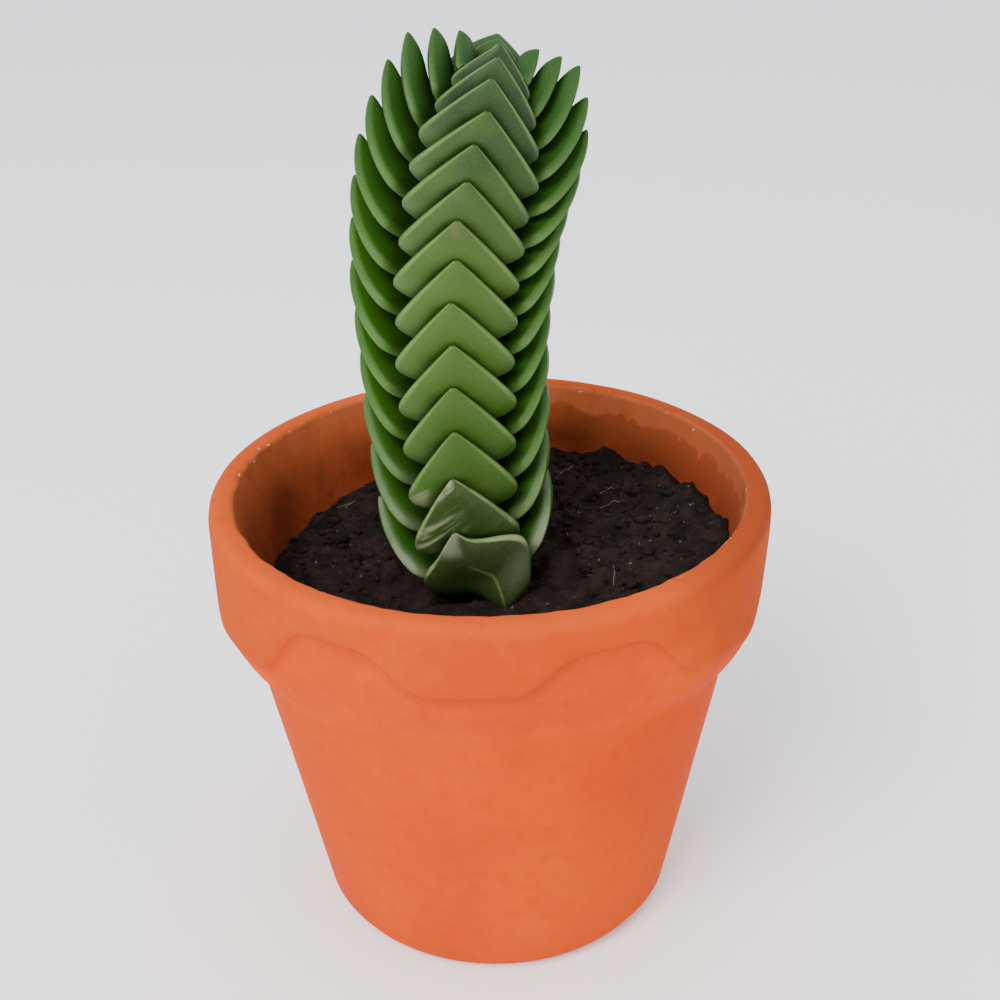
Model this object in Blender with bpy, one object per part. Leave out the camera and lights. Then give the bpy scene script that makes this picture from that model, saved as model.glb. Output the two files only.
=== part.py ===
# A potted crassula: a leafy column of crossed leaf pairs on one stem, rooted in soil in a clay pot.
# Metres, +Z up. The origin is the centre of the pot's foot on the ground, and -Y is the front.
import math

import bmesh
import bpy
from mathutils import Matrix, Vector
from mathutils.bvhtree import BVHTree

MM = 0.001
GAP = 0.3 * MM              # clearance between touching pieces

# Pot
POT_HEIGHT = 76.3 * MM
RIM_RADIUS = 45.0 * MM
RIM_INNER_RADIUS = 40.8 * MM
FOOT_RADIUS = 29.6 * MM
BODY_TOP_RADIUS = 40.25 * MM
BODY_TOP = 55.2 * MM        # where the tapered body ends and the sloping panels start
BODY_TOP_SAG = 7.0 * MM     # how much lower that is at the two sides
WALL = 4.6 * MM
FLOOR = 5.0 * MM
DRAIN_RADIUS = 6.0 * MM
EDGE_ROUND = 2.0 * MM       # rounding of the rim
FOOT_ROUND = 3.0 * MM
POT_SIDES = 72
ARCHES = 6                  # scallops in the collar's lower edge
ARCH_AZIMUTH = math.radians(-33)
ARCH_LEAN = math.radians(1.8)     # the arches sit unevenly: all a little to one side,
ARCH_CROWDING = math.radians(8.0)  # and the front ones closer together than the rest
ARCH_TOP = 70.5 * MM
ARCH_FOOT = 0.2             # share of the wave round the pot at which an arch starts to rise
ARCH_CROWN = 0.95           # and at which it is up
COLLAR_LOW = 64.6 * MM      # the collar's edge between two arches, at the front and the back
COLLAR_SAG = 7.4 * MM       # how much lower that edge is at the two sides
LEDGE = 0.9 * MM            # from the collar in to the panels under the arches
LEDGE_ROUND = 1.2 * MM      # rounding of the collar's lower edge
RING_STEP = 0.2 * MM        # spacing of the collar's rings before they take their shape

# Soil
SOIL_LEVEL = 63.6 * MM      # mean height of the surface at the wall
SOIL_TILT = 0.105           # rise of the surface towards +X
SOIL_CENTRE_DIP = 1.6 * MM
SOIL_LUMP = 0.55 * MM
SOIL_UNDER_LEAF = 1.4 * MM      # from the lowest leaves down to the soil
SOIL_BANK = 1.1             # how steeply it rises beside them
SOIL_SIDES = 40
SOIL_RINGS = 9
ROOT_DEPTH = 6.0 * MM       # how far the stem reaches below the lowest leaves

# Stem: points on its axis, from the soil to the growing tip
STEM_AXIS = [
    (1.6, -8.0, 46.0),
    (-0.9, -4.9, 58.0),
    (-3.1, -2.3, 70.0),
    (-4.2, 0.2, 85.0),
    (-4.5, 2.1, 101.0),
    (-3.6, 3.6, 115.0),
    (-1.2, 5.1, 128.0),
    (1.2, 6.1, 138.0),
    (3.4, 7.1, 146.0),
]
STEM_RADIUS = 2.2 * MM
STEM_TIP_RADIUS = 0.9 * MM
STEM_TAPER_PAIRS = 4.0

# Leaf pairs, counted from the growing tip down; the first two are still closed round the tip
PAIRS = 29
YOUNG_PAIRS = 1             # pairs above the first one whose leaves stand apart
TOP_PAIR_HEIGHT = 136.6 * MM
TOP_PITCH = 1.5 * MM        # along the stem, between the two topmost pairs
PITCH_GROWTH = 2.6 * MM     # added to it by the lowest pair
PITCH_POWER = 0.9
YOUNG_REACH = 4.6 * MM      # stem axis to leaf tip on the first pair that stands apart
GROWN_REACH = 16.0 * MM
GROWN_AT = 7                # the pair whose leaves are the longest
OLD_FROM = 10
OLD_SHRINK = 2.4 * MM       # how much shorter the oldest leaves are
UNEVEN = 0.13 * MM          # how much the reach varies from pair to pair
CLOSED_REACH = 3.0 * MM
CLOSED_RISE = 8.2 * MM
LEAF_RISE = 14.8 * MM       # stem joint to leaf tip, along the stem
WIDTH_RATIO = 0.595         # half width over reach
YOUNG_WIDTH = 2.6 * MM      # added half width on the youngest pair
CORNER_AT = 0.40            # share of the midline where the leaf is widest
CORNER_AT_YOUNG = 0.52
BASE_ANGLE = math.radians(16)
BASE_ANGLE_YOUNG = math.radians(44)
TIP_ANGLE = math.radians(60)
TIP_ANGLE_YOUNG = math.radians(76)
THICK_MARGIN = 1.25 * MM
THICK_JOINT = 0.95 * MM
BELLY = 1.3 * MM            # swelling of the outer face along the midline
THICK_LEAST = 0.36 * MM
COLLAR_WIDTH = 0.9 * MM     # the ring by which the two leaves of a pair are joined round the stem
MARGIN_CURVE = 1.25
OUTLINE_SHARES = (1.0, 0.9, 0.68, 0.4, 0.2)    # where the rim has points, tip to joint
LEAF_RINGS = (0.0, 0.46, 0.92)
PRESS_GAP = 0.42 * MM       # kept between each pair and the one that it grew against
SIDE_GAP = 0.95 * MM        # kept behind a leaf where another one stands close outside it

TIP_LENGTH = 6.4 * MM
TIP_WIDTH = 1.25 * MM


def material(name, colour, roughness):
    made = bpy.data.materials.new(name)
    made.use_nodes = True
    shader = made.node_tree.nodes["Principled BSDF"]
    shader.inputs["Base Color"].default_value = (*colour, 1.0)
    shader.inputs["Roughness"].default_value = roughness
    shader.inputs["Metallic"].default_value = 0.0
    return made


def finish(name, bm, mat, place=None):
    """Closes a bmesh into a named object with outward faces."""
    bmesh.ops.recalc_face_normals(bm, faces=bm.faces)
    bmesh.ops.triangulate(bm, faces=bm.faces)
    mesh = bpy.data.meshes.new(name)
    bm.to_mesh(mesh)
    bm.free()
    mesh.shade_smooth()
    mesh.set_sharp_from_angle(angle=math.radians(40))
    mesh.materials.append(mat)
    made = bpy.data.objects.new(name, mesh)
    bpy.context.scene.collection.objects.link(made)
    if place is not None:
        made.matrix_world = place
    return made


# ---------------------------------------------------------------- pot
def arch_height(azimuth):
    """Height of the collar's lower edge at an azimuth from the front, towards +X."""
    shift = math.cos(azimuth) * (ARCH_LEAN + ARCH_CROWDING * math.sin(azimuth))
    wave = 0.5 + 0.5 * math.cos(ARCHES * (azimuth + shift - ARCH_AZIMUTH))
    share = min(max((wave - ARCH_FOOT) / (ARCH_CROWN - ARCH_FOOT), 0.0), 1.0)
    low = COLLAR_LOW - COLLAR_SAG * math.sin(azimuth) ** 2
    return low + (ARCH_TOP - low) * share * share * (3 - 2 * share)


def body_top(azimuth):
    """Height at which the tapered body ends at an azimuth."""
    return BODY_TOP - BODY_TOP_SAG * math.sin(azimuth) ** 2


def body_radius(z):
    """Radius of the tapered body at a height."""
    return FOOT_RADIUS + (BODY_TOP_RADIUS - FOOT_RADIUS) * z / BODY_TOP


def inner_radius(z):
    """Radius of the pot's inner wall at a height."""
    low = FOOT_RADIUS - WALL
    mid = BODY_TOP_RADIUS - WALL
    if z >= BODY_TOP:
        return mid + (RIM_INNER_RADIUS - mid) * (z - BODY_TOP) / (POT_HEIGHT - BODY_TOP)
    return low + (mid - low) * z / BODY_TOP


def pot_profile():
    """The pot's cut outline as (radius, height), from the drain hole round the outside and back in."""
    quarter = math.sqrt(0.5)
    rim = RIM_RADIUS - EDGE_ROUND
    fillet = FLOOR + 3 * MM
    return [
        (DRAIN_RADIUS, 0.0),
        (FOOT_RADIUS - FOOT_ROUND, 0.0),
        (FOOT_RADIUS - FOOT_ROUND * (1 - quarter), FOOT_ROUND * (1 - quarter)),
        (FOOT_RADIUS, FOOT_ROUND),
        (BODY_TOP_RADIUS, COLLAR_LOW),
        (BODY_TOP_RADIUS, COLLAR_LOW + RING_STEP),
        (BODY_TOP_RADIUS, COLLAR_LOW + 2 * RING_STEP),
        (RIM_RADIUS, COLLAR_LOW + 3 * RING_STEP),
        (RIM_RADIUS, POT_HEIGHT - EDGE_ROUND),
        (rim + EDGE_ROUND * quarter, POT_HEIGHT - EDGE_ROUND * (1 - quarter)),
        (rim, POT_HEIGHT),
        (RIM_INNER_RADIUS + 0.4 * EDGE_ROUND, POT_HEIGHT),
        (inner_radius(POT_HEIGHT - 0.5 * EDGE_ROUND), POT_HEIGHT - 0.5 * EDGE_ROUND),
        (inner_radius(BODY_TOP), BODY_TOP),
        (inner_radius(fillet), fillet),
        (inner_radius(FLOOR) - 3 * MM, FLOOR),
        (DRAIN_RADIUS, FLOOR),
    ]


def build_pot(mat):
    bm = bmesh.new()
    verts = [bm.verts.new((0.0, -radius, height)) for radius, height in pot_profile()]
    edges = [bm.edges.new((a, b)) for a, b in zip(verts, verts[1:] + verts[:1])]
    bmesh.ops.spin(
        bm,
        geom=verts + edges,
        cent=(0, 0, 0),
        axis=(0, 0, 1),
        angle=2 * math.pi,
        steps=POT_SIDES,
        use_merge=True,
    )
    bmesh.ops.remove_doubles(bm, verts=bm.verts, dist=0.01 * MM)
    for vert in bm.verts:
        step = round((vert.co.z - COLLAR_LOW) / RING_STEP)
        if 0 <= step <= 3:
            shape_collar_edge(vert, step)
    return finish("pot", bm, mat)


def shape_collar_edge(vert, step):
    """Moves one vertex of the collar's four rings (panel foot, panel top, ledge, collar) to the arches."""
    azimuth = math.atan2(vert.co.x, -vert.co.y)
    edge = arch_height(azimuth)
    foot = body_top(azimuth)
    rings = [
        (body_radius(foot), foot),
        (RIM_RADIUS - LEDGE, edge - 0.5 * LEDGE_ROUND),
        (RIM_RADIUS - 0.25 * LEDGE, edge),
        (RIM_RADIUS, edge + LEDGE_ROUND),
    ]
    vert.co.xy *= rings[step][0] / vert.co.xy.length
    vert.co.z = rings[step][1]


# ---------------------------------------------------------------- stem axis and the frames on it
def axis_point(z):
    """Point on the stem's axis at a height, smooth through STEM_AXIS."""
    points = [Vector(p) * MM for p in STEM_AXIS]
    last = len(points) - 1
    i = 0
    while i < last - 1 and z > points[i + 1].z:
        i += 1
    a, b = points[i], points[i + 1]
    before, after = points[max(i - 1, 0)], points[min(i + 2, last)]
    span = b.z - a.z
    t = (z - a.z) / span
    slope_a = (b - before) * (span / (b.z - before.z))
    slope_b = (after - a) * (span / (after.z - a.z))
    point = (
        a * (2 * t ** 3 - 3 * t ** 2 + 1)
        + slope_a * (t ** 3 - 2 * t ** 2 + t)
        + b * (3 * t ** 2 - 2 * t ** 3)
        + slope_b * (t ** 3 - t ** 2)
    )
    point.z = z
    return point


def axis_direction(z):
    return (axis_point(z + MM) - axis_point(z - MM)).normalized()


def frame_at(z, turn):
    """Matrix whose Z runs up the stem at a height, and whose X is the pair's long direction."""
    up = axis_direction(z)
    along = Vector((math.cos(turn), math.sin(turn), 0.0))
    along = (along - up * along.dot(up)).normalized()
    across = up.cross(along)
    matrix = Matrix((along, across, up)).transposed().to_4x4()
    matrix.translation = axis_point(z)
    return matrix


def pair_heights():
    """Height on the stem of each pair's joint, from the top pair down."""
    heights = [TOP_PAIR_HEIGHT]
    for index in range(1, PAIRS):
        age = max(index - YOUNG_PAIRS - 0.5, 0.0) / (PAIRS - YOUNG_PAIRS - 1)
        pitch = TOP_PITCH + PITCH_GROWTH * age ** PITCH_POWER
        heights.append(heights[-1] - pitch * axis_direction(heights[-1]).z)
    return heights


def stem_radius(index):
    grown = 1 - math.exp(-max(index, 0.0) / STEM_TAPER_PAIRS)
    return STEM_TIP_RADIUS + (STEM_RADIUS - STEM_TIP_RADIUS) * grown


def build_stem(mat, heights):
    low = heights[-1] - ROOT_DEPTH
    high = heights[0] + 1.2 * MM
    count = 30
    curve = bpy.data.curves.new("stem", "CURVE")
    curve.dimensions = "3D"
    curve.bevel_depth = 1.0
    curve.bevel_resolution = 3
    curve.use_fill_caps = True
    spline = curve.splines.new("POLY")
    spline.points.add(count)
    for step, point in enumerate(spline.points):
        z = low + (high - low) * step / count
        above = sum(1 for h in heights if h > z)
        point.co = (*axis_point(z), 1.0)
        point.radius = stem_radius(above - 1) if z < heights[0] else STEM_TIP_RADIUS
    curve.materials.append(mat)
    made = bpy.data.objects.new("stem", curve)
    bpy.context.scene.collection.objects.link(made)
    return made


# ---------------------------------------------------------------- leaf pairs
def leaf_shape(index):
    """The measures of one pair: reach, rise, half width, hole radius and midline control points."""
    age = index - YOUNG_PAIRS
    reach = CLOSED_REACH
    rise = CLOSED_RISE
    if age >= 0:
        grown = math.sin(min(1.0, age / GROWN_AT) * math.pi / 2)
        reach = YOUNG_REACH + (GROWN_REACH - YOUNG_REACH) * grown
        rise = LEAF_RISE * min(1.0, reach / (14.5 * MM)) ** 0.35
    if age > OLD_FROM:
        reach -= OLD_SHRINK * ((age - OLD_FROM) / (PAIRS - YOUNG_PAIRS - 1 - OLD_FROM)) ** 1.8
    reach += UNEVEN * math.sin(2.1 * index + 3.6)
    hole = stem_radius(index) + 1.4 * GAP
    youth = math.exp(-max(age, 0) / 3.0)
    base_angle = BASE_ANGLE + (BASE_ANGLE_YOUNG - BASE_ANGLE) * youth
    tip_angle = TIP_ANGLE + (TIP_ANGLE_YOUNG - TIP_ANGLE) * youth
    start = Vector((hole, 0.0))
    end = Vector((reach, rise))
    chord = (end - start).length
    bend_a = start + Vector((math.cos(base_angle), math.sin(base_angle))) * chord * 0.40
    bend_b = end - Vector((math.cos(tip_angle), math.sin(tip_angle))) * chord * 0.32
    half = reach * WIDTH_RATIO + YOUNG_WIDTH * math.exp(-max(age, 0) / 2.2)
    return {
        "reach": reach,
        "hole": hole,
        "half_width": half if age >= 0 else hole + 2 * COLLAR_WIDTH,
        "corner": CORNER_AT + (CORNER_AT_YOUNG - CORNER_AT) * youth,
        "midline": (start, bend_a, bend_b, end),
        "plump": min(1.0, 0.48 + 0.028 * index),
    }


def midline(shape, t):
    """Point (distance from the axis, height) at a share t of the leaf's midline, and its angle."""
    a, b, c, d = shape["midline"]
    s = 1 - t
    point = a * s ** 3 + b * 3 * s * s * t + c * 3 * s * t * t + d * t ** 3
    slope = (b - a) * s * s + (c - b) * 2 * s * t + (d - c) * t * t
    return point, math.atan2(slope.y, slope.x)


def share_at(shape, distance):
    """The midline share at a distance from the axis."""
    low, high = 0.0, 1.0
    for _ in range(24):
        mid = (low + high) / 2
        if midline(shape, mid)[0].x < distance:
            low = mid
        else:
            high = mid
    return (low + high) / 2


def half_width(shape, t):
    """Half width of the blade at a midline share: round shoulders, then two nearly straight margins."""
    collar = shape["hole"] + COLLAR_WIDTH
    corner = shape["corner"]
    if t < corner:
        return collar + (shape["half_width"] - collar) * math.sin(0.5 * math.pi * t / corner) ** 1.3
    out = (t - corner) / (1 - corner)
    return shape["half_width"] * (1 - out ** MARGIN_CURVE)


def outline(shape):
    """Rim of a pair as (midline share, signs and half width), counter-clockwise from the tip at +X."""
    first = [(t * shape["corner"] / CORNER_AT if t < 0.5 else t, 1, 1) for t in OUTLINE_SHARES]
    half = first + [(0.0, 0, 1)] + [(t, -1, side) for t, _, side in reversed(first)]
    return half + [(t, end, -1) for t, end, _ in reversed(half[1:-1])]


def blade_point(shape, rim, share):
    """Upper and lower points of the blade at a share of the way from the stem to its rim."""
    t, end, side = rim
    edge_point = Vector((end * midline(shape, t)[0].x, side * half_width(shape, t) * (t < 1)))
    if end:
        start_x = shape["hole"]
        share_out = (midline(shape, t * share)[0].x - start_x) / (midline(shape, t)[0].x - start_x)
    else:
        share_out = share
    flat = (edge_point.normalized() * shape["hole"]).lerp(edge_point, share_out)
    out = abs(flat.x)
    t = share_at(shape, max(out, shape["hole"]))
    point, angle = midline(shape, t)
    if out < shape["hole"]:
        angle = 0.0
    away = min(1.0, max(0.0, (out / shape["reach"] - 0.2) / 0.35))
    across = min(1.0, abs(flat.y) / max(half_width(shape, t), shape["hole"]))
    belly = BELLY * away * (1 - across ** 2) * (1 - t ** 4)
    thick = THICK_JOINT + (THICK_MARGIN * (1 - 0.8 * t ** 8) - THICK_JOINT) * away
    normal = Vector((-math.copysign(math.sin(angle), flat.x), 0.0, math.cos(angle)))
    top = Vector((flat.x, flat.y, point.y if out > shape["hole"] else 0.0))
    return top, top - normal * (thick + belly) * shape["plump"]


def press(verts, place, below):
    """Lifts the vertices that would sink into the pair below, as leaves do that grow tightly packed."""
    up = place.to_3x3() @ Vector((0, 0, 1))
    start = 6 * MM
    for vert in verts:
        point = place @ vert.co
        for tree in below:
            _, _, _, far = tree.ray_cast(point + up * start, -up, start + PRESS_GAP)
            if far is not None:
                vert.co.z += start + PRESS_GAP - far
                point = place @ vert.co


def flatten(top, low, place, below):
    """Thins the blade at one point where its outer side would reach into a leaf further down."""
    turn = place.to_3x3()
    inward = low.co - top.co
    thick = inward.length
    inward.normalize()
    for tree in below:
        _, _, _, far = tree.ray_cast(place @ top.co, turn @ inward, thick + SIDE_GAP)
        if far is not None:
            thick = max(THICK_LEAST, min(thick, far - SIDE_GAP))
    low.co = top.co + inward * thick


def build_pair(index, mat, place, below):
    """Two opposite leaves grown together round the stem, flat across and curved up along their length."""
    shape = leaf_shape(index)
    edge = outline(shape)
    bm = bmesh.new()
    tops = []
    bottoms = []
    for share in LEAF_RINGS:
        points = [blade_point(shape, rim, share) for rim in edge]
        tops.append([bm.verts.new(top) for top, _ in points])
        bottoms.append([bm.verts.new(low) for _, low in points])
    points = [blade_point(shape, rim, 1.0) for rim in edge]
    rims = [bm.verts.new(top) for top, _ in points]
    for a, b in zip([v for ring in tops for v in ring], [v for ring in bottoms for v in ring]):
        flatten(a, b, place, below)
    for rim, (_, low), a, b in zip(rims, points, tops[-1], bottoms[-1]):
        share = (a.co - b.co).length / max((a.co - b.co).length, (low - rim.co).length)
        rim.co = rim.co.lerp(low, 0.5 * share)
    press([v for ring in bottoms for v in ring] + rims, place, below[-1:])
    for upper, lower in zip(tops, bottoms):
        for a, b in zip(upper, lower):
            a.co.z = max(a.co.z, b.co.z + THICK_LEAST)
    for a, b in zip(tops[-1], rims):
        a.co.z = max(a.co.z, b.co.z + 0.1 * MM)
    loops = [bottoms[0]] + tops + [rims] + bottoms[::-1][:-1]
    count = len(edge)
    for ring, after in zip(loops, loops[1:] + loops[:1]):
        for i in range(count):
            j = (i + 1) % count
            bm.faces.new((ring[i], ring[j], after[j], after[i]))
    loose = [v for v in bm.verts if not v.link_faces]
    bmesh.ops.delete(bm, geom=loose, context="VERTS")
    tree = world_tree(bm, place)
    return finish(f"leaf_pair_{PAIRS - index:02d}", bm, mat, place), tree


def world_tree(bm, place):
    """Search tree of a pair's surface in world space."""
    copy = bm.copy()
    bmesh.ops.transform(copy, matrix=place, verts=copy.verts)
    bmesh.ops.triangulate(copy, faces=copy.faces)
    tree = BVHTree.FromBMesh(copy)
    copy.free()
    return tree


# ---------------------------------------------------------------- growing tip
def build_tip(mat, z):
    """The closed bud of unopened leaves at the top of the stem."""
    bm = bmesh.new()
    bmesh.ops.create_uvsphere(bm, u_segments=12, v_segments=8, radius=1.0)
    for vert in bm.verts:
        lift = vert.co.z
        square = 1 + 0.12 * math.cos(4 * math.atan2(vert.co.y, vert.co.x))
        slim = TIP_WIDTH * square * (1 - 0.25 * lift)
        vert.co = (vert.co.x * slim, vert.co.y * slim, (lift + 1) * 0.5 * TIP_LENGTH)
    return finish("growing_tip", bm, mat, frame_at(z, 0.0))


# ---------------------------------------------------------------- soil
def leaf_bed(shape, place, x, y, clearance):
    """Height of the soil under a leaf pair: it follows the underside and banks up beside the margins."""
    up = place.to_3x3() @ Vector((0, 0, 1))
    along = place.to_3x3() @ Vector((1, 0, 0))
    joint = place.translation
    away = Vector((x - joint.x, y - joint.y, 0.0))
    plane = joint.z - (up.x * away.x + up.y * away.y) / up.z
    out = abs(away.dot(along))
    side = max(0.0, abs(away.dot(up.cross(along))) - shape["half_width"] - 0.8 * MM)
    rise = midline(shape, share_at(shape, max(out, shape["hole"])))[0].y
    beyond = max(0.0, out - shape["reach"])
    return plane + rise - THICK_JOINT - BELLY - clearance + SOIL_BANK * (side + beyond)


def soil_height(x, y, beds):
    """Height of the soil's surface: tilted, lumpy, and dished where the lowest leaves lie on it."""
    radius = math.hypot(x, y)
    level = SOIL_LEVEL + SOIL_TILT * x - SOIL_CENTRE_DIP * (1 - (radius / RIM_INNER_RADIUS) ** 2)
    lumps = math.sin(x / (3.1 * MM) + 1.3) * math.cos(y / (2.7 * MM)) + math.sin((x + 2 * y) / (4.3 * MM))
    level += SOIL_LUMP * lumps
    return min([level] + [leaf_bed(shape, place, x, y, SOIL_UNDER_LEAF) for shape, place in beds])


def build_soil(mat, root, beds):
    """A closed block of soil that fills the pot, with a hole in it for the buried end of the stem."""
    bm = bmesh.new()
    shape, place = beds[0]
    base = axis_point(root)
    hole = shape["hole"] + 1.5 * GAP
    ring = bmesh.ops.create_circle(bm, segments=SOIL_SIDES, radius=hole, cap_ends=True)["verts"]
    azimuths = [math.atan2(v.co.y, v.co.x) for v in ring]
    for vert in ring:
        vert.co += Vector((base.x, base.y, root - 1.3 * MM))
    previous = ring
    for step in range(SOIL_RINGS + 4):
        loop = [e for e in bm.edges if len(e.link_faces) == 1]
        out = bmesh.ops.extrude_edge_only(bm, edges=loop)["geom"]
        moved = match_order([v for v in out if isinstance(v, bmesh.types.BMVert)], previous)
        for vert, azimuth in zip(moved, azimuths):
            vert.co = soil_point(step, azimuth, hole, beds)
        previous = moved
    bm.faces.new(previous)
    return finish("soil", bm, mat)


def match_order(verts, ring):
    """Newly extruded vertices in the order of the ring that they came from."""
    made = set(verts)
    return [next(e.other_vert(v) for e in v.link_edges if e.other_vert(v) in made) for v in ring]


def soil_point(step, azimuth, hole, beds):
    """One vertex of the soil: up the stem hole, across the surface, then down inside the pot's wall."""
    way = Vector((math.cos(azimuth), math.sin(azimuth), 0.0))
    if step <= SOIL_RINGS:
        share = (step / SOIL_RINGS) ** 1.35
        wall = way * (inner_radius(SOIL_LEVEL) - GAP)
        start = axis_point(beds[0][1].translation.z - THICK_JOINT - BELLY) + way * hole
        x, y = start.x + (wall.x - start.x) * share, start.y + (wall.y - start.y) * share
        height = soil_height(x, y, beds)
        if step == SOIL_RINGS:
            ratio = (inner_radius(height) - GAP) / math.hypot(x, y)
            x, y = x * ratio, y * ratio
        return Vector((x, y, height))
    level = {1: BODY_TOP, 2: FLOOR + 3 * MM + GAP, 3: FLOOR + GAP}[step - SOIL_RINGS]
    radius = inner_radius(level) - GAP - (3 * MM if level < FLOOR + MM else 0.1 * MM)
    return Vector((way.x * radius, way.y * radius, level))


def main():
    for thing in list(bpy.data.objects):
        bpy.data.objects.remove(thing)
    clay = material("clay", (0.76, 0.165, 0.045), 0.85)
    earth = material("earth", (0.022, 0.014, 0.012), 0.95)
    bark = material("stem_green", (0.10, 0.16, 0.05), 0.6)
    leaf = material("leaf_green", (0.10, 0.22, 0.06), 0.5)
    young = material("young_leaf_green", (0.09, 0.21, 0.08), 0.5)
    heights = pair_heights()
    places = []
    for index, height in enumerate(heights):
        turn = ((index + 1) % 2) * math.pi / 2 + math.radians(0.8) * math.sin(index * 1.7)
        places.append(frame_at(height, turn))
    build_pot(clay)
    beds = [(leaf_shape(index), places[index]) for index in (PAIRS - 1, PAIRS - 2)]
    build_soil(earth, heights[-1] - ROOT_DEPTH, beds)
    build_stem(bark, heights)
    below = []
    for index in reversed(range(PAIRS)):
        _, tree = build_pair(index, leaf, places[index], below[-2:])
        below.append(tree)
    build_tip(young, heights[0] + 1.2 * MM + GAP)


main()
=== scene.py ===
import bmesh
import bpy
import math
import random
from mathutils import Matrix, Vector, noise
from mathutils.bvhtree import BVHTree


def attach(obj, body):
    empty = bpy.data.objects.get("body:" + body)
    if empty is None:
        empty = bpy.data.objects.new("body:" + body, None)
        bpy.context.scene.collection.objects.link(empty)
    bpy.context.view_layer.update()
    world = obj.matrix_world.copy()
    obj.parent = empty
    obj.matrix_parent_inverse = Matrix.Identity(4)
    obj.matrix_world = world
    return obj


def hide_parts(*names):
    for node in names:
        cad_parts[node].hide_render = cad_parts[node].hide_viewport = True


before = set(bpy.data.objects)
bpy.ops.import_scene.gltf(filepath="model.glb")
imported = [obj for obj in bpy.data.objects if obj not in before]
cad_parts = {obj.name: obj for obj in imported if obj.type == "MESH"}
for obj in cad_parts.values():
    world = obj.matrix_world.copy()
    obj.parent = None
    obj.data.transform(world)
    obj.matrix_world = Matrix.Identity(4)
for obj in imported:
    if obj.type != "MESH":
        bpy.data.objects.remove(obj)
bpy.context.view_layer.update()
mm = 0.001
random.seed(7)
print("frame loaded,", len(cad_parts), "nodes")


# small helpers
def clamp(value, low=0.0, high=1.0):
    return max(low, min(high, value))


def smooth(value, low, high):
    # from 0 at low to 1 at high; low may be the larger one
    share = clamp((value - low) / (high - low))
    return share * share * (3 - 2 * share)


def blend(a, b, share):
    return a + (b - a) * share


def noiseAt(x, y, z, seed=0.0):
    return noise.noise(Vector((x + seed * 17.3, y - seed * 5.1, z + seed * 9.7)))


def addLayers(bm, names):
    for name in names:
        bm.verts.layers.float.new(name)
    return {name: bm.verts.layers.float[name] for name in names}


def spinRound(bm, verts, steps):
    # turns a row of joined points once round the upright axis
    bmesh.ops.spin(
        bm, geom=verts + list(bm.edges), cent=(0, 0, 0), axis=(0, 0, 1),
        angle=2 * math.pi, steps=steps, use_merge=True,
    )


def makePiece(name, bm, mat, node, levels=0):
    bmesh.ops.recalc_face_normals(bm, faces=bm.faces)
    mesh = bpy.data.meshes.new(name)
    bm.to_mesh(mesh)
    bm.free()
    mesh.shade_smooth()
    mesh.materials.append(mat)
    piece = bpy.data.objects.new(name, mesh)
    bpy.context.scene.collection.objects.link(piece)
    if levels:
        mod = piece.modifiers.new("smooth", "SUBSURF")
        mod.levels = levels
        mod.render_levels = levels
    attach(piece, "root")
    if node:
        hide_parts(node)
    return piece


# node material helpers
class Shader:
    def __init__(self, name):
        self.mat = bpy.data.materials.new(name)
        self.mat.use_nodes = True
        self.tree = self.mat.node_tree
        self.surface = self.tree.nodes["Principled BSDF"]
        self.coords = self.tree.nodes.new("ShaderNodeTexCoord").outputs["Object"]

    def add(self, kind, inputs=None, **settings):
        node = self.tree.nodes.new(kind)
        for key, value in settings.items():
            setattr(node, key, value)
        for key, value in (inputs or {}).items():
            self.put(node.inputs[key], value)
        return node

    def put(self, socket, value):
        if isinstance(value, bpy.types.NodeSocket):
            self.tree.links.new(value, socket)
        else:
            socket.default_value = value

    def noise(self, scale, detail=4.0, rough=0.55, distort=0.0, vector=None):
        inputs = {"Vector": vector or self.coords, "Scale": scale, "Detail": detail}
        inputs.update({"Roughness": rough, "Distortion": distort})
        return self.add("ShaderNodeTexNoise", inputs).outputs["Fac"]

    def band(self, value, low, high, outLow=0.0, outHigh=1.0):
        inputs = {"Value": value, "From Min": low, "From Max": high}
        inputs.update({"To Min": outLow, "To Max": outHigh})
        return self.add("ShaderNodeMapRange", inputs, interpolation_type="SMOOTHSTEP").outputs["Result"]

    def math(self, kind, a, b=0.0):
        return self.add("ShaderNodeMath", {0: a, 1: b}, operation=kind).outputs[0]

    def times(self, first, *others):
        for other in others:
            first = self.math("MULTIPLY", first, other)
        return first

    def mix(self, share, a, b):
        a, b = [(*c, 1.0) if isinstance(c, tuple) else c for c in (a, b)]
        return self.add("ShaderNodeMix", {0: share, 6: a, 7: b}, data_type="RGBA").outputs[2]

    def attribute(self, name):
        return self.add("ShaderNodeAttribute", attribute_name=name).outputs["Fac"]

    def bump(self, height, strength, distance, below=None):
        inputs = {"Height": height, "Strength": strength, "Distance": distance}
        if below:
            inputs["Normal"] = below
        return self.add("ShaderNodeBump", inputs).outputs["Normal"]

    def finish(self, colour, rough, specular, normal=None):
        self.put(self.surface.inputs["Base Color"], colour)
        self.put(self.surface.inputs["Roughness"], rough)
        self.surface.inputs["Specular IOR Level"].default_value = specular
        if normal:
            self.put(self.surface.inputs["Normal"], normal)
        return self.mat


def rgb(r, g, b):
    # colour from 0 to 255 as seen, to linear
    parts = [v / 255 for v in (r, g, b)]
    return tuple(v / 12.92 if v <= 0.04045 else ((v + 0.055) / 1.055) ** 2.4 for v in parts)


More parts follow.
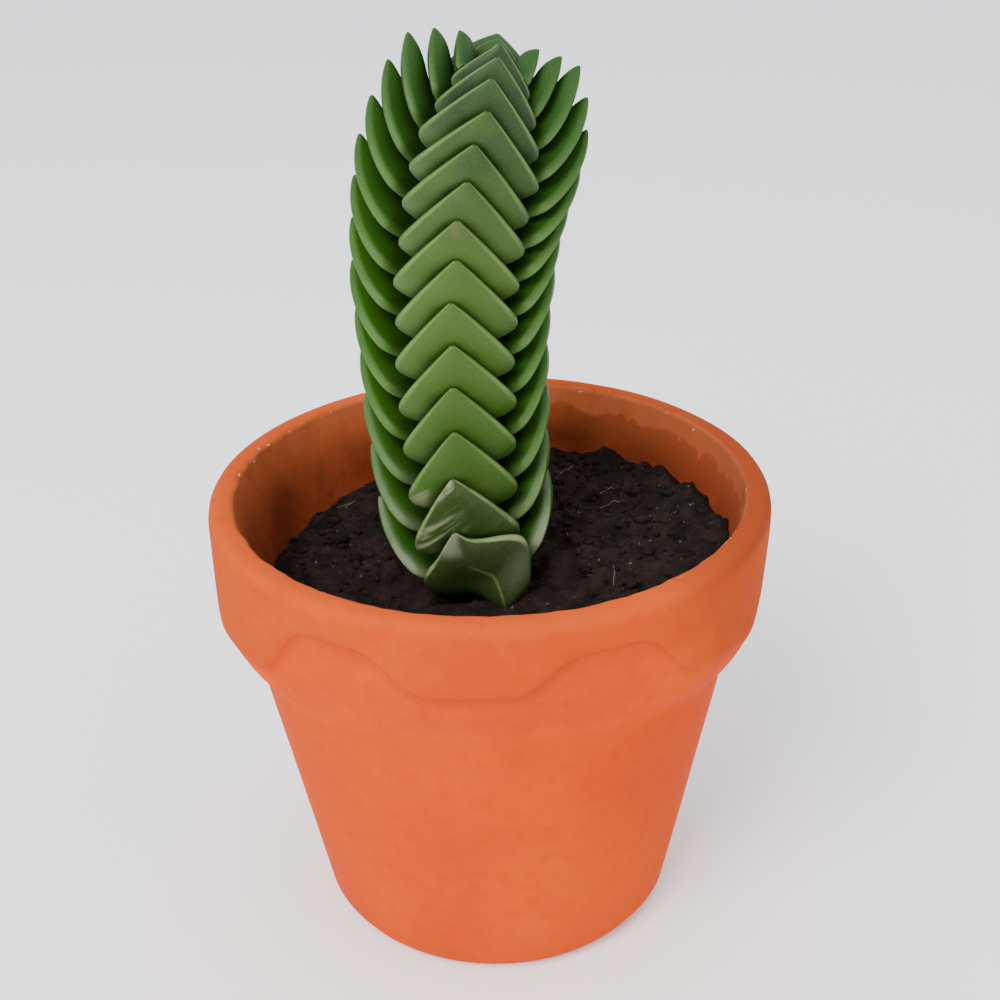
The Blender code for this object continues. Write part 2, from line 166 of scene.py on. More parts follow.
# camera
view = {
    "place": (0.001645, -0.231065, 0.192158),
    "target": (0.001645, 0.0, 0.072957),
    "roll": -1.14,
    "lens": 57.8,
    "sensor": 36.0,
}
cameraData = bpy.data.cameras.new("camera")
cameraData.lens = view["lens"]
cameraData.sensor_width = view["sensor"]
camera = bpy.data.objects.new("camera", cameraData)
bpy.context.scene.collection.objects.link(camera)
aim = (Vector(view["target"]) - Vector(view["place"])).to_track_quat("-Z", "Y").to_matrix().to_4x4()
turn = Matrix.Rotation(math.radians(view["roll"]), 4, "Z")
camera.matrix_world = Matrix.Translation(view["place"]) @ aim @ turn
bpy.context.scene.camera = camera

# floor and light
studio = {
    "floor": rgb(253, 253, 254),
    "floorSize": 3.0,
    "floorRough": 0.7,
    "sky": (0.93, 0.95, 1.0),
    "skyStrength": 1.55,
    "keyPlace": (-0.38, -0.62, 0.78),
    "keySize": 0.5,
    "keyPower": 13.0,
    "keyColour": (1.0, 0.98, 0.95),
    "fillPlace": (0.7, -0.5, 0.5),
    "fillSize": 0.8,
    "fillPower": 1.0,
    "fillColour": (1.0, 1.0, 1.0),
    "aimHeight": 0.07,
}


def addLight(kind):
    data = bpy.data.lights.new(kind + "Light", "AREA")
    data.size = studio[kind + "Size"]
    data.energy = studio[kind + "Power"]
    data.color = studio[kind + "Colour"]
    light = bpy.data.objects.new(kind + "Light", data)
    bpy.context.scene.collection.objects.link(light)
    place = studio[kind + "Place"]
    toward = Vector((0.0, 0.0, studio["aimHeight"])) - Vector(place)
    aimed = toward.to_track_quat("-Z", "Y").to_matrix().to_4x4()
    light.matrix_world = Matrix.Translation(place) @ aimed


def makeStudio():
    bm = bmesh.new()
    bmesh.ops.create_grid(bm, x_segments=1, y_segments=1, size=studio["floorSize"] / 2)
    mesh = bpy.data.meshes.new("floor")
    bm.to_mesh(mesh)
    bm.free()
    ground = bpy.data.objects.new("floor", mesh)
    bpy.context.scene.collection.objects.link(ground)
    paper = Shader("floorPaint")
    paper.surface.inputs["Base Color"].default_value = (*studio["floor"], 1.0)
    paper.surface.inputs["Roughness"].default_value = studio["floorRough"]
    mesh.materials.append(paper.mat)
    world = bpy.data.worlds.new("studio")
    world.use_nodes = True
    back = world.node_tree.nodes["Background"]
    back.inputs["Color"].default_value = (*studio["sky"], 1.0)
    back.inputs["Strength"].default_value = studio["skyStrength"]
    bpy.context.scene.world = world
    addLight("key")
    addLight("fill")


makeStudio()
print("camera, floor and light done")

# pot
pot = {
    "steps": 168,
    "rows": (6, 5, 6, 3),  # on the body, panels, ledge and collar
    "arcSteps": 4,
    "height": 76.3 * mm,
    "rimRadius": 45.0 * mm,
    "rimInner": 40.8 * mm,
    "footRadius": 29.6 * mm,
    "underRing": 0.6,
    "bodyTop": 55.2 * mm,
    "bodyTopRadius": 40.25 * mm,
    "bodyTopSag": 7.0 * mm,
    "bodyLastRow": 0.97,
    "wall": 4.6 * mm,
    "floor": 5.0 * mm,
    "floorRound": 3.0 * mm,
    "drain": 6.0 * mm,
    "rimRound": 2.0 * mm,
    "lipRound": 1.0 * mm,
    "footRound": 3.0 * mm,
    "arches": 6,
    "archTurn": math.radians(-33),
    "archLean": math.radians(1.8),
    "archCrowding": math.radians(8.0),
    "archTop": 70.5 * mm,
    "archFoot": 0.2,
    "archCrown": 0.95,
    "collarLow": 64.6 * mm,
    "collarSag": 7.4 * mm,
    "panelSwell": 0.45 * mm,
    "ledge": 0.9 * mm,
    "ledgeRound": 1.5 * mm,
    "creaseRow": 2.2,
    "creaseSpread": 0.4,
    "collarFrom": (2.3, 2.8),
    "wallRows": 11,
    "flatFoot": 0.5 * mm,
    "wobble": 0.12 * mm,
    "ragged": 0.35 * mm,
    "raggedHeight": (70 * mm, 75.5 * mm),
    "raggedRadius": (41.2 * mm, 42.2 * mm),
    "outerSkin": 44.8 * mm,
}


def archHeight(azimuth):
    # lower edge of the raised collar
    shift = math.cos(azimuth) * (pot["archLean"] + pot["archCrowding"] * math.sin(azimuth))
    wave = 0.5 + 0.5 * math.cos(pot["arches"] * (azimuth + shift - pot["archTurn"]))
    low = pot["collarLow"] - pot["collarSag"] * math.sin(azimuth) ** 2
    return blend(low, pot["archTop"], smooth(wave, pot["archFoot"], pot["archCrown"]))


def bodyTopAt(azimuth):
    return pot["bodyTop"] - pot["bodyTopSag"] * math.sin(azimuth) ** 2


def bodyRadius(z):
    return blend(pot["footRadius"], pot["bodyTopRadius"], z / pot["bodyTop"])


def innerRadius(z):
    low = pot["footRadius"] - pot["wall"]
    mid = pot["bodyTopRadius"] - pot["wall"]
    if z >= pot["bodyTop"]:
        return mid + (pot["rimInner"] - mid) * (z - pot["bodyTop"]) / (pot["height"] - pot["bodyTop"])
    return low + (mid - low) * z / pot["bodyTop"]


def arc(centre, radius, start, end):
    points = []
    for i in range(pot["arcSteps"] + 1):
        a = math.radians(start + (end - start) * i / pot["arcSteps"])
        points.append((centre[0] + radius * math.cos(a), centre[1] + radius * math.sin(a)))
    return points


def potRow(s, azimuth):
    # outer side by rows: 0-1 body, 1-2 panel, 2-3 ledge, 3-4 collar
    edge = archHeight(azimuth)
    top = bodyTopAt(azimuth)
    ledgeIn = pot["rimRadius"] - pot["ledge"]
    ledgeLow = edge - 0.5 * pot["ledgeRound"]
    ledgeHigh = edge + pot["ledgeRound"]
    if s <= 1:
        z = blend(pot["footRound"], top, s)
        return bodyRadius(z), z
    if s <= 2:
        a = s - 1
        swell = pot["panelSwell"] * math.sin(math.pi * a)
        return blend(bodyRadius(top), ledgeIn, a) + swell, blend(top, ledgeLow, a)
    if s <= 3:
        a = s - 2
        return blend(ledgeIn, pot["rimRadius"], smooth(a, -0.25, 1)), blend(ledgeLow, ledgeHigh, a)
    return pot["rimRadius"], blend(ledgeHigh, pot["height"] - pot["rimRound"], s - 3)


def potRows():
    # the profile from the drain hole out, up the side, over the rim and down the inner wall
    h, foot, lip = pot["height"], pot["footRound"], pot["lipRound"]
    under = [(pot["drain"], 0.0), (pot["footRadius"] * pot["underRing"], 0.0)]
    under += arc((pot["footRadius"] - foot, foot), foot, -90, 0)[:-1]
    bodyRows = pot["rows"][0]
    side = [i / bodyRows for i in range(bodyRows)] + [pot["bodyLastRow"], 1.0]
    for start, count in enumerate(pot["rows"][1:], 1):
        side += [start + i / count for i in range(1, count + 1)]
    rim = pot["rimRound"]
    over = arc((pot["rimRadius"] - rim, h - rim), rim, 0, 90)[1:]
    over += arc((pot["rimInner"] + lip, h - lip), lip, 90, 180)
    for i in range(1, pot["wallRows"] + 1):
        z = blend(h - lip, pot["floor"] + pot["floorRound"], i / pot["wallRows"])
        over.append((innerRadius(z), z))
    over += [(innerRadius(0) - pot["floorRound"], pot["floor"]), (pot["drain"], pot["floor"])]
    rows = [("fixed", p) for p in under] + [("side", s) for s in side]
    return rows + [("fixed", p) for p in over]


def makePot(mat):
    rows = potRows()
    bm = bmesh.new()
    rowLayer = bm.verts.layers.int.new("row")
    verts = []
    for i, (kind, value) in enumerate(rows):
        radius, z = value if kind == "fixed" else potRow(value, pot["archTurn"])
        vert = bm.verts.new((0.0, -radius, z))
        vert[rowLayer] = i
        verts.append(vert)
    for pair in zip(verts, verts[1:] + verts[:1]):
        bm.edges.new(pair)
    spinRound(bm, verts, pot["steps"])
    layers = addLayers(bm, ("grooveShade", "upper"))
    for vert in bm.verts:
        kind, value = rows[vert[rowLayer]]
        azimuth = math.atan2(vert.co.x, -vert.co.y)
        if kind == "side":
            # upper is 0 on the body, a half on the panels and 1 on the collar
            upper = smooth(value, pot["bodyLastRow"], 1.0) + smooth(value, *pot["collarFrom"])
            vert[layers["upper"]] = 0.5 * upper
            # mask along the groove row, used for painted shade under the collar's ledge
            vert[layers["grooveShade"]] = max(0.0, 1 - abs(value - pot["creaseRow"]) / pot["creaseSpread"])
            radius, z = potRow(value, azimuth)
            vert.co = (radius * math.sin(azimuth), -radius * math.cos(azimuth), z)
        elif vert.co.z > pot["height"] / 2:
            vert[layers["upper"]] = 1.0
        agePot(vert)
    return makePiece("claypot", bm, mat, "pot")


def agePot(vert):
    # hand-turned unevenness, and a ragged inner lip
    p = vert.co
    if p.z <= pot["flatFoot"]:
        return
    radius = p.xy.length
    wobble = noiseAt(p.x * 90, p.y * 90, p.z * 60, 1) * pot["wobble"]
    lip = smooth(p.z, *pot["raggedHeight"]) * (1 - smooth(radius, *pot["raggedRadius"]))
    ragged = noiseAt(p.x * 420, p.y * 420, p.z * 500, 2) * pot["ragged"] * lip
    shift = wobble + ragged if radius < pot["outerSkin"] else -abs(wobble)
    p.xy *= 1 + shift / radius


clayLook = {
    "body": (rgb(187, 60, 0), rgb(195, 69, 0)),
    # panel colours a little lighter than the collar's: painted light
    "panel": (rgb(190, 61, 4), rgb(202, 72, 10)),
    "collar": (rgb(180, 61, 5), rgb(196, 75, 13)),
    # painted shade on the collar's two sides
    "besideColour": rgb(140, 58, 18),
    "beside": 0.42,
    "warmColour": rgb(206, 82, 18),
    "warm": 0.3,
    # painted highlight: the top of the rim a little lighter
    "rimTopHighlightColour": rgb(196, 84, 34),
    "rim": 0.3,
    # painted shade along the groove under the collar's ledge
    "grooveShadeColour": rgb(136, 42, 4),
    "grooveShade": 0.4,
    "stain": (rgb(100, 42, 20), rgb(126, 58, 32)),
    "wallColour": rgb(162, 82, 46),
    "wallSlope": 0.193,
    "peeledColour": rgb(196, 104, 62),
    "peeled": 0.75,
    "peeledDepth": 8.0 * mm,
    "shadeColour": rgb(104, 45, 26),
    "shade": 0.6,
    "chipColour": rgb(216, 176, 140),
    "grainColour": rgb(150, 44, 4),
    "grain": 0.18,
    "rough": (0.72, 0.9),
    "specular": 0.06,
}


def clayMaterial():
    m = Shader("firedClay")
    look = clayLook
    place = m.add("ShaderNodeSeparateXYZ", {"Vector": m.coords})
    x, height = place.outputs["X"], place.outputs["Z"]
    flat = m.add("ShaderNodeVectorMath", {0: m.coords, 1: (1.0, 1.0, 0.0)}, operation="MULTIPLY")
    radius = m.add("ShaderNodeVectorMath", {0: flat.outputs[0]}, operation="LENGTH").outputs["Value"]
    cloud = m.noise(38.0, 5.0, 0.6, 0.3)
    broad = m.noise(14.0, 3.0, 0.5)
    fine = m.noise(420.0, 3.0, 0.6)

    # outside: body, panels and collar, the panels a little lighter than the collar as painted light;
    # painted shade in the groove and on the collar's two sides
    body, panel, collar = [
        m.mix(m.band(cloud, 0.35, 0.68), *look[part]) for part in ("body", "panel", "collar")
    ]
    upper = m.attribute("upper")
    onCollar = m.band(upper, 0.5, 1.0)
    # painted light: the panels a little lighter than the collar
    colour = m.mix(m.band(upper, 0.0, 0.5), body, panel)
    colour = m.mix(onCollar, colour, collar)
    # painted shade: the collar darker towards its two sides, where it turns from the light
    beside = m.band(m.math("ABSOLUTE", x), 16 * mm, 42 * mm, 0.0, look["beside"])
    colour = m.mix(m.times(beside, onCollar), colour, look["besideColour"])
    colour = m.mix(m.band(broad, 0.52, 0.72, 0.0, look["warm"]), colour, look["warmColour"])
    # painted highlight: the top of the rim a little lighter, where the light falls on it
    rimTopHighlight = m.times(m.band(height, 73.8 * mm, 76.2 * mm), m.band(radius, 40.5 * mm, 41.8 * mm))
    colour = m.mix(m.times(rimTopHighlight, look["rim"]), colour, look["rimTopHighlightColour"])
    # painted shade along the groove under the collar's ledge
    colour = m.mix(m.times(m.attribute("grooveShade"), look["grooveShade"]), colour, look["grooveShadeColour"])

    # inner wall: stained low down, lighter near the rim
    wallLine = m.math("SUBTRACT", radius, m.times(height, look["wallSlope"]))
    inside = m.math("SUBTRACT", 1.0, m.band(wallLine, 26.4 * mm, 26.8 * mm))
    stain = m.mix(m.band(m.noise(60.0, 6.0, 0.65, 0.5), 0.38, 0.62), *look["stain"])
    wall = m.mix(m.band(height, 66.0 * mm, 75.2 * mm), stain, look["wallColour"])
    colour = m.mix(inside, colour, wall)

    # a peeled strip with a torn edge under the lip, then the shade at the right
    tear = m.times(m.math("SUBTRACT", m.noise(150.0, 5.0, 0.7, 0.4), 0.5), look["peeledDepth"])
    peeled = m.band(m.math("ADD", height, tear), 72.2 * mm, 73.2 * mm)
    peeled = m.times(peeled, m.band(x, -5 * mm, 20 * mm), inside, look["peeled"])
    colour = m.mix(peeled, colour, look["peeledColour"])
    shade = m.times(m.band(x, 16 * mm, 44 * mm), m.band(height, 73.5 * mm, 75.5 * mm))
    shade = m.times(m.math("MAXIMUM", shade, inside), m.band(x, 12 * mm, 40 * mm), look["shade"])
    colour = m.mix(shade, colour, look["shadeColour"])

    # chips along the lip, and grain all over
    lipLine = m.times(m.band(height, 75.0 * mm, 75.8 * mm), m.band(radius, 42.2 * mm, 41.2 * mm))
    chips = m.band(m.noise(420.0, 2.0, 0.5, 0.8), 0.655, 0.70)
    colour = m.mix(m.times(chips, lipLine), colour, look["chipColour"])
    colour = m.mix(m.band(fine, 0.45, 0.75, 0.0, look["grain"]), colour, look["grainColour"])
    rough = m.band(cloud, 0.3, 0.7, *look["rough"])
    grain = m.bump(fine, 0.25, 0.3 * mm)
    normal = m.bump(m.noise(150.0, 4.0, 0.6), 0.2, 0.5 * mm, grain)
    return m.finish(colour, rough, look["specular"], normal)


makePot(clayMaterial())
print("pot done")

# stem axis, in millimetres from below the soil to the growing tip
stemAxis = [
    (1.6, -8.0, 46.0),
    (-0.9, -4.9, 58.0),
    (-3.1, -2.3, 70.0),
    (-4.2, 0.2, 85.0),
    (-4.5, 2.1, 101.0),
    (-3.6, 3.6, 115.0),
    (-1.2, 5.1, 128.0),
    (1.2, 6.1, 138.0),
    (3.4, 7.1, 146.0),
]

# leaf pairs, counted from the growing tip down
leaves = {
    "pairs": 29,
    "young": 1,
    "topHeight": 136.6 * mm,
    "topPitch": 1.5 * mm,
    "pitchGrowth": 2.6 * mm,
    "pitchPower": 0.9,
    "turnWobble": math.radians(0.8),
    "grownReach": 16.0 * mm,
    "oldFrom": 10,
    "oldShrink": 2.4 * mm,
    "oldPower": 1.8,
    "uneven": 0.13 * mm,
    "closedReach": 3.0 * mm,
    "closedRise": 8.2 * mm,
    "closedHalf": 2.6 * mm,
    "rise": 14.8 * mm,
    "fullRiseReach": 14.5 * mm,
    "risePower": 0.35,
    "widthRatio": 0.595,
    "youngWidth": 2.6 * mm,
    "youngWidthFade": 2.2,
    "youthFade": 3.0,
    "hole": 2.4 * mm,
    "holeGrowth": (0.5, 0.1),
    "waist": 3.0 * mm,
    "waistGrowth": (0.55, 0.08),
    "plumpGrowth": (0.6, 0.04),
    "oldWaist": 5.4 * mm,
    "corner": 0.40,
    "youngCorner": 0.52,
    "cornerSnap": 0.02,
    "cornerRound": (8, 28),
    "sidePowers": (1.15, 1.3),
    "liftFrom": (3, 5),
    "liftUntil": (8, 6),
    "trimRightFrom": (9, 18),
    "trimRightUntil": (30, 22),
    "trimLeftFrom": (12, 21),
    "stemRun": 0.12,
    "stemStretch": 8,
    "tipCrowding": 0.55,
    "awayFrom": 0.2,
    "awayOver": 0.35,
    "lobeFrom": (2, 12),
    "lobePast": 0.04,
    "lobeLength": 0.15,
    "lobeAcross": (0.3, 0.72),
    "baseAngle": math.radians(16),
    "youngBaseAngle": math.radians(44),
    "baseHandle": 0.40,
    "youngTipAngle": math.radians(76),
    "joint": 0.95 * mm,
    "least": 0.5 * mm,
    "marginThinning": 0.6,
    "marginCurve": 1.25,
    "tipWidth": 0.22 * mm,
    "ripple": 0.10 * mm,
    "roundBacks": (0, 2, 4),
    "roundBackSpread": 1.3 * mm,
    "rimFrom": 0.96,
    "rimOuter": 0.75,
    "rimUpper": 0.25,
    "wornFrom": 0.86,
    "pressReach": 6.0 * mm,
    "thinGap": 0.35 * mm,
    "lowerGap": 0.15 * mm,
    "upperGap": 0.65 * mm,
    "wornRims": {23: 0.15, 25: 0.3, 27: 0.65},
    "layers": ("margin", "outer", "tip", "across", "age", "wearAndSheen", "fold"),
    "along": 44,
    "across": 10,
}
frontRank = {
    "youngReach": 4.6 * mm,
    "grownAt": 7,
    "lift": 0.0,
    "tipAngle": math.radians(62),
    "handle": 0.32,
    "margin": 1.15 * mm,
    "belly": 1.5 * mm,
    "bellyEdge": 3.0,
    "lobe": 0.55 * mm,
    "dome": 2.2 * mm,
    "domeGrowth": (1.0, 0.04),
    "trimRight": 0.0,
    "trimLeft": 0.0,
    # strength of the painted margin highlight along the leaf, from base to tip
    "marginHighlightTone": (0.0, 1.0, 0.4, 0.6),
    "outerTone": (1.0, 1.0, 0.5, 0.85),
}
sideRank = {
    "youngReach": 5.8 * mm,
    "grownAt": 9,
    "lift": 1.0 * mm,
    "tipAngle": math.radians(91),
    "handle": 0.38,
    "margin": 1.35 * mm,
    "belly": 0.75 * mm,
    "bellyEdge": 1.8,
    "lobe": 0.0,
    "dome": 2.7 * mm,
    "domeGrowth": (0.8, 0.04),
    "trimRight": 1.5 * mm,
    "trimLeft": 0.9 * mm,
    # strength of the painted margin highlight along the leaf, weak on this rank
    "marginHighlightTone": (0.5, 0.1, 0.5, 0.9),
    # painted shade: this rank's outer faces take part of the dark inner colour, as they face away from
    # the light
    "outerTone": (0.58, 0.23, 0.5, 0.85),
}


def rankOf(index):
    # even pairs face front and back, odd ones face the sides
    return sideRank if index % 2 else frontRank


def axisPoint(z):
    points = [Vector(p) * mm for p in stemAxis]
    last = len(points) - 1
    i = 0
    while i < last - 1 and z > points[i + 1].z:
        i += 1
    a, b = points[i], points[i + 1]
    before, after = points[max(i - 1, 0)], points[min(i + 2, last)]
    span = b.z - a.z
    t = (z - a.z) / span
    slopeA = (b - before) * (span / (b.z - before.z))
    slopeB = (after - a) * (span / (after.z - a.z))
    point = a * (2 * t ** 3 - 3 * t ** 2 + 1) + slopeA * (t ** 3 - 2 * t ** 2 + t)
    point += b * (3 * t ** 2 - 2 * t ** 3) + slopeB * (t ** 3 - t ** 2)
    point.z = z
    return point


def axisUp(z):
    return (axisPoint(z + mm) - axisPoint(z - mm)).normalized()


def axisFrame(z, turnAngle):
    up = axisUp(z)
    along = Vector((math.cos(turnAngle), math.sin(turnAngle), 0.0))
    along = (along - up * along.dot(up)).normalized()
    matrix = Matrix((along, up.cross(along), up)).transposed().to_4x4()
    matrix.translation = axisPoint(z)
    return matrix


def pairHeights():
    heights = [leaves["topHeight"]]
    for index in range(1, leaves["pairs"]):
        age = max(index - leaves["young"] - 0.5, 0.0) / (leaves["pairs"] - leaves["young"] - 1)
        pitch = leaves["topPitch"] + leaves["pitchGrowth"] * age ** leaves["pitchPower"]
        heights.append(heights[-1] - pitch * axisUp(heights[-1]).z)
    return heights


def reachAt(rank, age):
    grown = math.sin(min(1.0, age / rank["grownAt"]) * math.pi / 2)
    return blend(rank["youngReach"], leaves["grownReach"], grown)


def grownShare(growth, index):
    start, step = growth
    return min(1.0, start + step * index)


def leafShape(index):
    rank = rankOf(index)
    age = index - leaves["young"]
    reach, rise, half = leaves["closedReach"], leaves["closedRise"], leaves["closedHalf"]
    if age >= 0:
        reach = reachAt(rank, age)
        fullness = min(1.0, reachAt(frontRank, age) / leaves["fullRiseReach"])
        rise = leaves["rise"] * fullness ** leaves["risePower"]
        rise += rank["lift"] * smooth(index, *leaves["liftFrom"]) * smooth(index, *leaves["liftUntil"])
    if age > leaves["oldFrom"]:
        span = leaves["pairs"] - leaves["young"] - 1 - leaves["oldFrom"]
        reach -= leaves["oldShrink"] * ((age - leaves["oldFrom"]) / span) ** leaves["oldPower"]
    reach += leaves["uneven"] * math.sin(2.1 * index + 3.6)
    if age >= 0:
        half = reach * leaves["widthRatio"]
        half += leaves["youngWidth"] * math.exp(-age / leaves["youngWidthFade"])
    youth = math.exp(-max(age, 0) / leaves["youthFade"])
    baseAngle = blend(leaves["baseAngle"], leaves["youngBaseAngle"], youth)
    tipAngle = blend(rank["tipAngle"], leaves["youngTipAngle"], youth)
    handle = blend(rank["handle"], frontRank["handle"], youth)
    hole = Vector((leaves["hole"] * grownShare(leaves["holeGrowth"], index), 0.0))
    end = Vector((reach, rise))
    chord = (end - hole).length
    bendA = hole + Vector((math.cos(baseAngle), math.sin(baseAngle))) * chord * leaves["baseHandle"]
    bendB = end - Vector((math.cos(tipAngle), math.sin(tipAngle))) * chord * handle
    trimRight = smooth(index, *leaves["trimRightFrom"]) * smooth(index, *leaves["trimRightUntil"])
    trimLeft = smooth(index, *leaves["trimLeftFrom"])
    return {
        "index": index,
        "reach": reach,
        "half": half,
        "corner": blend(leaves["corner"], leaves["youngCorner"], youth),
        "curve": (hole, bendA, bendB, end),
        "waist": leaves["waist"] * grownShare(leaves["waistGrowth"], index),
        "plump": grownShare(leaves["plumpGrowth"], index),
        "dome": rank["dome"] * grownShare(rank["domeGrowth"], index),
        "belly": rank["belly"],
        "bellyEdge": rank["bellyEdge"],
        "margin": rank["margin"],
        "lobe": rank["lobe"] * smooth(index, *leaves["lobeFrom"]),
        "roundness": smooth(index, *leaves["cornerRound"]),
        "trim": {1: rank["trimRight"] * trimRight, -1: rank["trimLeft"] * trimLeft},
    }


def midline(shape, t):
    # first a short flat run across the stem, then the curve out to the tip
    a, b, c, d = shape["curve"]
    if t < 0:
        return Vector((a.x * (1 + t), 0.0)), 0.0
    s = 1 - t
    point = a * s ** 3 + b * 3 * s * s * t + c * 3 * s * t * t + d * t ** 3
    slope = (b - a) * s * s + (c - b) * 2 * s * t + (d - c) * t * t
    return point, math.atan2(slope.y, slope.x) * smooth(t, -0.02, 0.12)


def halfWidth(shape, t):
    corner = shape["corner"]
    if t < corner:
        ease = clamp(t / corner)
        straight, rounded = leaves["sidePowers"]
        soft = math.sin(0.5 * math.pi * ease) ** rounded
        ease = blend(ease ** straight, soft, shape["roundness"])
        return blend(shape["waist"], shape["half"], ease)
    out = (t - corner) / (1 - corner)
    return shape["half"] * max(0.0, 1 - out ** leaves["marginCurve"])


def bladePoint(shape, u, v):
    # u runs tip to tip, v from margin to margin; returns the upper point, the inward normal,
    # the thickness, and the shares of the way out to the tip and across to the margin
    side = 1 if u >= 0 else -1
    spread = blend(abs(u), math.sin(abs(u) * math.pi / 2), leaves["tipCrowding"])
    t = blend(-leaves["stemRun"], 1.0, spread)
    if abs(t - shape["corner"]) < leaves["cornerSnap"]:
        t = shape["corner"]
    v = math.sin(v * math.pi / 2)
    point, angle = midline(shape, t if t > 0 else t * leaves["stemStretch"])
    t = max(t, 0.0)
    width = halfWidth(shape, t) + leaves["tipWidth"] * t ** 6
    if side > 0 and shape["index"] in leaves["roundBacks"]:
        width += leaves["roundBackSpread"] * math.sin(math.pi * t ** 2)
    ripple = leaves["ripple"] * noiseAt(side * t * 3, v, shape["index"] * 1.7, 3)
    away = clamp((point.x / shape["reach"] - leaves["awayFrom"]) / leaves["awayOver"])

    # the outer face swells along the midline, and again in a lobe beside each corner
    belly = shape["belly"] * away * (1 - abs(v) ** shape["bellyEdge"]) * (1 - t ** 6)
    lobe = math.exp(-((t - shape["corner"] - leaves["lobePast"]) / leaves["lobeLength"]) ** 2)
    lobe = lobe * smooth(abs(v), *leaves["lobeAcross"]) * (1 - abs(v) ** 8)
    belly += shape["lobe"] * lobe * (1 + 0.5 * noiseAt(side, v, shape["index"] * 3.1))
    thick = blend(leaves["joint"], shape["margin"] * (1 - leaves["marginThinning"] * t ** 3), away)
    thick = (thick + belly) * shape["plump"]
    normal = Vector((-side * math.sin(angle), 0.0, math.cos(angle)))
    point.x -= shape["trim"][side] * (point.x / shape["reach"]) ** 1.5
    top = Vector((side * point.x, v * width, point.y + ripple))
    dome = shape["dome"] * away * (1 - v * v) * (1 - t ** 9)
    return top + normal * dome, normal, thick + dome, t, v


def pressOn(verts, place, trees, gap):
    # lifts the points that would sink into the pair below
    up = place.to_3x3() @ Vector((0, 0, 1))
    above = leaves["pressReach"]
    for vert in verts:
        for tree in trees:
            point = place @ vert.co
            _, _, _, far = tree.ray_cast(point + up * above, -up, above + gap)
            if far is not None:
                vert.co.z += above + gap - far


# the oldest front leaf is skewed: its tip leans left, its right corner is lifted and its
# lower edge is folded down and out; distances in millimetres
oldest = {
    "cornerIn": 0.8,
    "cornerAcross": 2.2,
    "cornerLift": 4.8,
    "tipLean": 1.0,
    "tipDrop": 1.0,
    "edgeOut": 4.0,
    "edgeAcross": 1.2,
    "edgeDrop": 3.6,
    "leftLift": 1.6,
    "groove": 0.35,
    "foldStart": 0.04,
    "foldEnd": 0.5,
    "foldBow": 0.06,
    # strength of the painted highlight on the upper-left corner
    "wearAndSheen": 0.7,
}


def twistLowest(shape, verts, layers):
    # the shift depends on the place along and across the leaf, the same for both of its skins
    for vert in verts:
        if vert.co.x >= 0:
            continue
        t = vert[layers["tip"]]
        side = -vert[layers["across"]] * halfWidth(shape, t) / shape["half"]
        tip = smooth(t, 0.25, 0.94)
        right = smooth(side, 0.1, 1.0) * smooth(t, -0.05, 0.2)
        low = smooth(t, 0.5, 0.27) * smooth(side, 0.1, 0.55)
        left = smooth(t, 0.8, 0.42) * smooth(side, 0.3, -0.1)
        along = clamp((0.7 - t) / 0.4)
        off = side - blend(oldest["foldStart"], oldest["foldEnd"], along)
        off -= oldest["foldBow"] * math.sin(along * math.pi)
        fold = smooth(abs(off), 0.12, 0.0) * smooth(t, 0.74, 0.66)
        # painted highlight on the upper-left corner near the tip, in the same layer as the worn margins
        vert[layers["wearAndSheen"]] = oldest["wearAndSheen"] * smooth(t, 0.76, 0.88) * smooth(side, 0.1, -0.02)
        vert[layers["fold"]] = 1 + off
        inward = oldest["cornerIn"] * right + oldest["edgeOut"] * low + oldest["groove"] * fold
        across = oldest["tipLean"] * tip - oldest["cornerAcross"] * right + oldest["edgeAcross"] * low
        lift = oldest["cornerLift"] * right - oldest["tipDrop"] * tip
        lift += oldest["leftLift"] * left - oldest["edgeDrop"] * low
        vert.co += Vector((-inward, across, lift)) * mm


def toneAt(tone, t):
    start, end, low, high = tone
    return blend(start, end, smooth(t, low, high))


